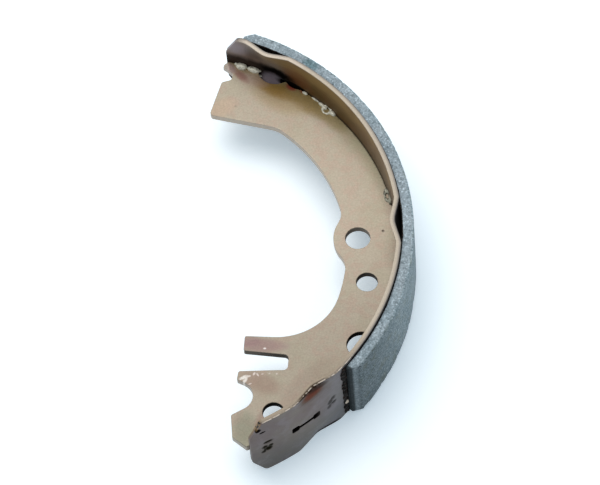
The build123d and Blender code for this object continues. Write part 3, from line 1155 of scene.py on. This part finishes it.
@dataclass
class Rim:
    """The rolled strip: six-sided ends, two slots, three pairs of ledge marks, rolled from a flat blank."""

    half_sweep: float = 70.4
    corner_length: float = 5.2
    corner_height: float = 9.5
    end_corner_cut: float = 0.64
    side_corner_cut: float = 1.48
    slot_length: float = 13.0
    slot_width: float = 1.35
    eye: float = 3.1
    eye_corner: float = 0.6
    ledges: tuple[Triple, ...] = ((59.0, 2.25, 5.9), (-1.9, 2.35, 6.3), (-52.3, 1.8, 6.3))
    nose_depth: float = 0.3
    nose_half_sweep: float = 1.4
    ledge_height: float = 9.5
    broken_edge: float = 0.25
    dents: tuple[Triple, ...] = (
        (-66.1, 2.3, 0.9),
        (-66.4, -2.0, 1.7),
        (-48.0, 2.6, 0.9),
        (-48.3, -1.2, 1.2),
    )
    dent_depth: float = 0.22
    finish: RolledSteel = field(default_factory=RolledSteel)

    def blank(self) -> Solid:
        """Crop the flat strip to its six-sided ends and round their corners."""
        half = arc(self.half_sweep)
        strip = Solid.block("rim_strip", (-half, -HALF_RIM, -RIM_SHEET), (half, HALF_RIM, 0.0))
        for end in (-1, 1):
            for side in (-1, 1):
                corner = (end * half, side * (HALF_RIM - self.corner_height), 0.0)
                strip.cleave(corner, (end * self.corner_height, side * self.corner_length, 0.0))
        for limit, at, size in ((half, 0, self.end_corner_cut), (HALF_RIM, 1, self.side_corner_cut)):
            def stands_there(first: Vector, last: Vector) -> bool:
                """Whether an edge between two points is an upright corner that is rounded."""
                at_end = abs(first.x) > half - self.corner_length - 0.8
                return upright(first, last) and at_end and abs(abs(first[at]) - limit) < TOLERANCE

            with strip:
                strip.pick_edges(stands_there)
                bpy.ops.mesh.bevel(offset=size * MM, segments=4, affect="EDGES")
        return strip

    def slot_tools(self, angle: float) -> list[Solid]:
        """Make the punches of one slot: a narrow neck and an eye with rounded corners at each end.

        Args:
            angle: where the slot is.

        Returns:
            The punches.
        """
        middle = arc(angle)
        neck = (self.slot_length - self.eye) / 2
        half_width = self.slot_width / 2
        below = -2 * RIM_SHEET
        low, high = (middle - neck, -half_width, below), (middle + neck, half_width, RIM_SHEET)
        tools = [Solid.block("neck", low, high)]
        for side in (-1, 1):
            place = middle + side * neck
            half = self.eye / 2
            punch = Solid.block("eye", (place - half, -half, below), (place + half, half, RIM_SHEET))
            with punch:
                punch.pick_edges(upright)
                bpy.ops.mesh.bevel(offset=self.eye_corner * MM, segments=5, affect="EDGES")
            tools.append(punch)
        return tools

    def score(self, strip: Solid) -> None:
        """Score the strip finely where it is pressed and evenly elsewhere."""
        bands = [(0.0, 69.5, 1.0)]
        bands += [(ledge, 7.0, 0.35) for ledge, _, _ in self.ledges]
        bands += [(dent, 1.9, 0.25) for dent, _, _ in self.dents]
        angles = set()
        for middle, reach, step in bands:
            places = np.arange(middle - reach, middle + reach + 0.05, step)
            angles |= set(np.round(places, 2).tolist())
        heights = [side * level for side in (-1, 1) for level in np.arange(6.9, 17.3, 0.8).tolist()]
        heights += np.arange(-5.0, 4.5, 0.4).tolist()
        strip.slice_at(Axis.ACROSS, heights)
        strip.slice_at(Axis.ALONG, [arc(angle) for angle in sorted(angles)])

    def pressed(self, points: np.ndarray) -> np.ndarray:
        """Press the ledge marks and the electrodes' dents into the flat strip.

        Args:
            points: the strip's vertices on the flat.

        Returns:
            Their places after pressing.
        """
        moved = points.copy()
        turn = np.degrees(points[:, 0] / RIM_OUTER)
        rise = (np.abs(points[:, 1]) - (HALF_RIM - self.ledge_height)) / self.ledge_height
        share = 0.7 * np.clip(rise, 0.0, 1.0) + 0.3 * ease(rise)
        for ledge, depth, half_sweep in self.ledges:
            off = np.abs(turn - ledge)
            flank = (half_sweep - off) / (half_sweep - self.nose_half_sweep)
            fall = 0.82 * np.clip(flank, 0.0, 1.0) + 0.18 * ease(flank)
            nose = np.clip(1.0 - (off / self.nose_half_sweep) ** 2, 0.0, 1.0)
            moved[:, 2] -= share * (depth * fall + self.nose_depth * nose)
        skin = points[:, 2] > -0.35
        for angle, level, tall in self.dents:
            side = (points[:, 0] - arc(angle)) / 2.3
            up = (points[:, 1] - level - 0.5 * side * side) / tall
            moved[:, 2] -= np.where(skin, self.dent_depth * ease(1.35 - side * side - up * up), 0.0)
        return moved

    def build(self) -> Solid:
        """Make the strip, roll it and dress it."""
        strip = self.blank()
        for angle in SLOT_ANGLES:
            for tool in self.slot_tools(angle):
                strip.cut(tool)
        strip.break_edges(self.broken_edge)
        self.score(strip)
        strip.keep_flat_places()
        strip.reshape(self.pressed)
        strip.roll(RIM_OUTER)
        strip.dress(self.finish.material(), "rim_steel", "rim")
        return strip


@dataclass
class Web:
    """The stamped plate, from its CAD node, with broken edges and a centre-punch dot."""

    broken_edge: float = 0.28
    dots: tuple[Triple, ...] = ((87.94, 2.31, 0.5),)
    finish: StampedSteel = field(default_factory=StampedSteel)

    def build(self) -> Solid:
        """Merge the plate, break its edges, mark it and dress it."""
        plate = Solid.of_node("web", "web_plate")
        plate.break_edges(self.broken_edge)
        for x, y, size in self.dots:
            punch = Solid.ball("punch", Vector((x + DRUM_AXIS_X, y, WEB_TOP + size * 0.3)), size, 2)
            plate.cut(punch)
        plate.dress(self.finish.material(), "web_steel", "web", 32.0)
        return plate


@dataclass
class Facing:
    """What lies on the rim's outer face: its outer radius, its thickness, and the arc that it covers."""

    outer: float
    thickness: float
    half_width: float = LINING_HALF_WIDTH
    start: float = LINING_START
    end: float = LINING_END

    def span(self) -> Pair:
        """Where it starts and ends on the flat."""
        return arc(self.start, self.outer), arc(self.end, self.outer)


@dataclass
class Lining(Facing):
    """The friction lining: a moulded block with bevelled ends and worn edges, rolled to the drum."""

    outer: float = LINING_FACE
    thickness: float = 4.4
    layer: float = 0.7
    bevel_length: float = 3.7
    bevel_depth: float = 2.6
    broken_edge: float = 0.3
    cell: float = 0.75
    wear: float = 0.2
    finish: FrictionMix = field(default_factory=FrictionMix)

    def blank(self) -> Solid:
        """Make the flat block with its bevelled ends."""
        first, last = self.span()
        block = Solid.block(
            "friction_lining", (first, -self.half_width, -self.thickness), (last, self.half_width, 0.0),
        )
        for end, place in ((-1, first), (1, last)):
            block.cleave((place, 0.0, -self.bevel_depth), (end * self.bevel_depth, 0.0, self.bevel_length))
        return block

    def worn(self, points: np.ndarray) -> np.ndarray:
        """Chip the edges and make the ground face slightly uneven.

        Args:
            points: the block's vertices on the flat.

        Returns:
            Their places on the worn block.
        """
        first, last = self.span()
        to_side = self.half_width - np.abs(points[:, 1])
        to_face = -points[:, 2]
        to_end = np.minimum(points[:, 0] - first, last - points[:, 0])
        lumps = grain(points, 2.4, 3.0)
        crumbs = grain(points, 0.9, 8.0)
        chips = np.clip(lumps * 0.9 + crumbs * 0.7 - 0.12, 0.0, 1.0)
        edge = np.exp(-((to_side + to_face) / 0.8) ** 2)
        edge = np.clip(edge + np.exp(-((to_side + np.maximum(to_end, 0)) / 0.9) ** 2), 0.0, 1.0)
        moved = points.copy()
        pull = self.wear * edge * (0.15 + chips * 2.4)
        moved[:, 1] -= np.sign(points[:, 1]) * np.where(to_side < 0.6, pull, 0.0)
        moved[:, 2] -= np.where(to_face < 0.6, pull, 0.0)
        waves = np.clip(grain(points * np.array([1.0, 0.35, 1.0]), 13.0, 5.0) + 0.3, 0.0, 1.0)
        moved[:, 2] -= np.where(to_face < 2.7, 0.16 * waves, 0.0)
        rough = 0.05 * (crumbs + 1.0)
        moved[:, 1] -= np.sign(points[:, 1]) * np.where(to_side < 0.35, rough, 0.0)
        moved[:, 2] -= np.where(to_face < 0.35, rough, 0.0)
        return moved

    def build(self) -> Solid:
        """Make the block, wear it, roll it and dress it."""
        block = self.blank()
        block.break_edges(self.broken_edge)
        block.slice_at(Axis.THROUGH, np.arange(-self.thickness + self.layer, -0.5, self.layer).tolist())
        block.slice_at(Axis.ACROSS, np.arange(-15.7, 15.8, self.cell).tolist())
        first, last = self.span()
        block.slice_at(Axis.ALONG, np.arange(first + 0.6, last - 0.5, self.cell).tolist())
        block.keep_flat_places()
        block.reshape(self.worn)
        block.roll(self.outer)
        block.dress(self.finish.material(), "friction_lining", "lining")
        return block


@dataclass
class BondLine(Facing):
    """The cured adhesive: a film under the lining, squeezed out unevenly past its ends and sides."""

    outer: float = FILM_FACE
    thickness: float = 0.3
    overrun: float = 2.3
    finish: CuredAdhesive = field(default_factory=CuredAdhesive)

    def squeezed(self, points: np.ndarray) -> np.ndarray:
        """Push the film out past the lining's ends and sides.

        Args:
            points: the film's vertices on the flat.

        Returns:
            Their places after squeezing.
        """
        first, last = self.span()
        past = np.maximum(first - points[:, 0], points[:, 0] - last)
        end = np.where(points[:, 0] < 0, -1.0, 1.0)
        lumps = grain(points, 1.3, 2.0)
        slow = grain(points, 4.0, 7.0)
        moved = points.copy()
        top = points[:, 2] > -self.thickness / 2
        heap = np.sin(np.pi * np.clip((past + 0.35) / (self.overrun + 0.35), 0.0, 1.0))
        heap *= np.where(end < 0, 1.0, 0.25)
        beads = np.clip(0.5 + lumps * 0.8 + slow * 0.4, 0.08, 1.2)
        moved[:, 2] += np.where(top & (past > -0.2), heap * beads, 0.0)
        out = np.clip(past / self.overrun, 0.0, 1.0)
        moved[:, 0] += end * out * np.where(end < 0, lumps * 0.7 + slow * 0.5, lumps * 0.4 - 0.9)
        side = np.clip((np.abs(points[:, 1]) - self.half_width + 0.3) / 0.3, 0.0, 1.0)
        seep = np.clip(0.05 + lumps * 0.1 + slow * 0.3, -0.15, 0.35)
        moved[:, 1] += np.sign(points[:, 1]) * side * seep
        rim_of_film = np.abs(points[:, 1]) > self.half_width - 0.05
        moved[:, 2] += np.where(rim_of_film & top, np.clip(seep, 0.0, 0.8) * 0.9, 0.0)
        return moved

    def build(self) -> Solid:
        """Make the film, squeeze it, roll it and dress it."""
        start, end = self.span()
        first, last = start - self.overrun, end + self.overrun
        low = (first, -self.half_width, -self.thickness)
        film = Solid.block("bond_line", low, (last, self.half_width, 0.0))
        ends = np.arange(0.3, 2.5, 0.3)
        film.slice_at(Axis.ACROSS, [-16.05, *np.arange(-15.6, 15.7, 0.45).tolist(), 16.05])
        places = np.concatenate([first + ends, np.arange(first + 2.6, last - 2.4, 0.6), last - ends])
        film.slice_at(Axis.ALONG, places.tolist())
        film.keep_flat_places()
        film.reshape(self.squeezed)
        film.roll(self.outer)
        film.dress(self.finish.material(), "adhesive", "bond_film", 50.0)
        return film


class SplashForm(Enum):
    """How the metal of one weld was squeezed out."""

    LUMPS = "lumps"
    RING = "ring"
    LOOP = "loop"


@dataclass
class Welds:
    """Metal squeezed out along the corner between the web and the rim, on both faces of the web."""

    corner: float = RIM_INNER
    spacing: float = 4.9
    bead: float = 0.52
    forms: tuple[tuple[float, SplashForm], ...] = (
        (64.9, SplashForm.LUMPS),
        (41.0, SplashForm.RING),
        (11.0, SplashForm.LOOP),
        (-19.0, SplashForm.LUMPS),
        (-48.2, SplashForm.LUMPS),
        (-66.3, SplashForm.LUMPS),
    )
    finish: WeldSplash = field(default_factory=WeldSplash)

    @staticmethod
    def set_in_corner(parts: np.ndarray, angle: float, middle: Vector) -> np.ndarray:
        """Turn a lump to lie along the corner and put it in its place.

        Args:
            parts: its vertices along the corner, away from the rim, and up.
            angle: where it is.
            middle: its middle.

        Returns:
            The vertices in the row frame.
        """
        along = np.array([-sin(radians(angle)), cos(radians(angle)), 0.0])
        inward = np.array([-cos(radians(angle)), -sin(radians(angle)), 0.0])
        placed = np.outer(parts[:, 0], along) + np.outer(parts[:, 1], inward)
        placed[:, 2] += parts[:, 2]
        return placed + np.array(middle)

    def lump(self, angle: float, face: int, size: Triple, inset: float = 0.5, detail: int = 3) -> Solid:
        """Make one flattened lump in the corner.

        Args:
            angle: where it is.
            face: 1 on the upper face of the web, -1 on the lower one.
            size: its half lengths along the corner, away from the rim, and up.
            inset: how far its middle is from the rim.
            detail: how often its faces are divided.

        Returns:
            The lump.
        """
        made = Solid.ball("weld_lump", Vector((0.0, 0.0, 0.0)), 1.0, detail)
        middle = on_drum(self.corner - inset, angle, face * (WEB_TOP + size[2] * 0.25))

        def squashed(points: np.ndarray) -> np.ndarray:
            """Swell a ball unevenly, flatten it and set it in the corner."""
            swell = 1.0 + 0.1 * grain(points, 1.1, angle + face * 3.1)
            return self.set_in_corner(points * swell[:, None] * np.array(size), angle, middle)

        made.reshape(squashed)
        return made

    def loop(self, angle: float, face: int, radius: float, stretch: float) -> Solid:
        """Make one ring of squeezed metal, drawn out along the corner.

        Args:
            angle: where it is.
            face: 1 on the upper face of the web, -1 on the lower one.
            radius: radius of its middle line.
            stretch: how much longer it is along the corner.

        Returns:
            The ring.
        """
        made = Solid.ring("weld_ring", Vector((0.0, 0.0, 0.0)), radius, self.bead)
        middle = on_drum(self.corner - radius * 0.7, angle, face * (WEB_TOP + 0.15))

        def drawn(points: np.ndarray) -> np.ndarray:
            """Swell a ring unevenly, draw it out and set it in the corner."""
            swell = 0.35 * grain(points, 0.9, angle + face)
            parts = points * (1.0 + swell[:, None] * 0.4) + np.outer(swell, np.array([0.0, 0.0, 0.6]))
            up = parts[:, 2] * 1.25 - parts[:, 1] * 0.45
            turned = np.stack([parts[:, 0] * stretch, parts[:, 1], up], axis=1)
            return self.set_in_corner(turned, angle, middle)

        made.reshape(drawn)
        return made

    def splash(self, angle: float, form: SplashForm, face: int) -> list[Solid]:
        """Make what one weld has squeezed out on one face of the web.

        Args:
            angle: where the weld is.
            form: how its metal lies.
            face: 1 on the upper face of the web, -1 on the lower one.

        Returns:
            Its lumps and rings.
        """
        step = degrees(self.spacing / 2 / self.corner)
        if form is SplashForm.RING:
            return [
                self.loop(angle, face, 1.5, 1.2),
                self.lump(angle + 0.9, face, (1.3, 0.9, 0.9), 0.8),
                self.lump(angle - 1.8, face, (1.7, 1.0, 0.9)),
                self.lump(angle + 2.0, face, (1.6, 0.8, 0.7)),
                self.lump(angle + 4.2, face, (2.0, 0.45, 0.4), 0.3),
                self.lump(angle + 7.4, face, (1.3, 0.65, 0.6), 0.5),
            ]
        if form is SplashForm.LOOP:
            return [
                self.loop(angle + 0.2, face, 1.05, 2.1),
                self.lump(angle + step + 0.3, face, (1.0, 0.8, 0.8)),
                self.lump(angle - step - 0.3, face, (0.9, 0.6, 0.7)),
            ]
        return [
            self.lump(angle + step * 0.95, face, (2.4, 1.6, 1.3), 0.9),
            self.lump(angle - step * 1.15, face, (2.7, 1.4, 1.2), 0.9),
            self.lump(angle + step * 2.0, face, (0.8, 0.6, 0.6), 0.3, 2),
            self.lump(angle - step * 2.1, face, (0.9, 0.5, 0.5), 0.3, 2),
        ]

    def build(self) -> Solid:
        """Make every weld's metal, join it and dress it."""
        sides = [(angle, form, face) for angle, form in self.forms for face in (1, -1)]
        pieces = [piece for side in sides for piece in self.splash(*side)]
        first, *others = pieces
        first.join(others)
        first.holder.name = "weld_splashes"
        first.holder.data.name = "weld_splashes"
        first.dress(self.finish.material(), "weld_metal", "weld_lumps", 60.0)
        return first


@dataclass
class Studio:
    """A pale floor, a soft light overhead, a faint blue fill and the camera."""

    floor_half: float = 3000.0
    key_place: Triple = (-240.0, 400.0, 1240.0)
    key_size: float = 1100.0
    key_power: float = 10.6
    key_tint: Triple = (1.0, 0.985, 0.96)
    fill: Triple = (0.86, 0.95, 1.0)
    fill_strength: float = 0.5
    eye: Triple = (-3.395, -727.596, 1165.619)
    right: Triple = (0.99692993, -0.05802059, -0.0525768)
    down: Triple = (-0.07705935, -0.84605221, -0.52750119)
    ahead: Triple = (-0.01387679, 0.52993326, -0.84792581)
    lens: float = 212.75

    def floor(self) -> None:
        """Lay the floor under the rim's lower edge."""
        Solid.free_hands()
        bpy.ops.mesh.primitive_grid_add(
            x_subdivisions=8, y_subdivisions=8, size=2 * self.floor_half * MM,
            location=(0.0, 0.0, FLOOR * MM),
        )
        ground = bpy.context.object
        ground.name = "studio_floor"
        ground.data.materials.append(PaleFloor().material())

    def light(self) -> None:
        """Hang the soft light and set the sky's faint fill."""
        Solid.free_hands()
        place = Vector(self.key_place) * MM
        bpy.ops.object.light_add(type="AREA", location=place)
        lamp = bpy.context.object
        lamp.name = "overhead_softbox"
        lamp.data.shape = "SQUARE"
        lamp.data.size = self.key_size * MM
        lamp.data.energy = self.key_power
        lamp.data.color = self.key_tint
        lamp.rotation_euler = (-place).to_track_quat("-Z", "Y").to_euler()
        world = bpy.data.worlds.new("studio")
        bpy.context.scene.world = world
        world.use_nodes = True
        sky = world.node_tree.nodes["Background"]
        sky.inputs["Color"].default_value = (*self.fill, 1.0)
        sky.inputs["Strength"].default_value = self.fill_strength

    def camera(self) -> None:
        """Set the camera where the picture was taken from."""
        Solid.free_hands()
        bpy.ops.object.camera_add()
        eye = bpy.context.object
        eye.name = "picture_camera"
        axes = [Vector(self.right), -Vector(self.down), -Vector(self.ahead)]
        turned = Matrix([axis.normalized() for axis in axes]).transposed().to_4x4()
        turned.translation = Vector(self.eye) * MM
        eye.matrix_world = turned
        eye.data.sensor_fit = "HORIZONTAL"
        eye.data.sensor_width = 36.0
        eye.data.lens = self.lens
        eye.data.clip_start = 0.05
        eye.data.clip_end = 20.0
        bpy.context.scene.camera = eye

    def build(self) -> None:
        """Set up the studio."""
        self.floor()
        self.light()
        self.camera()
        bpy.context.scene.view_settings.view_transform = "Standard"


def main() -> None:
    """Build the shoe and its studio."""
    logging.basicConfig(level=logging.INFO, format="%(name)s: %(message)s")
    for part in (Rim(), Web(), Lining(), BondLine(), Welds()):
        part.build()
        log.info("%s is done", type(part).__name__)
    Studio().build()
    log.info("the studio is set")


if __name__ == "__main__":
    main()
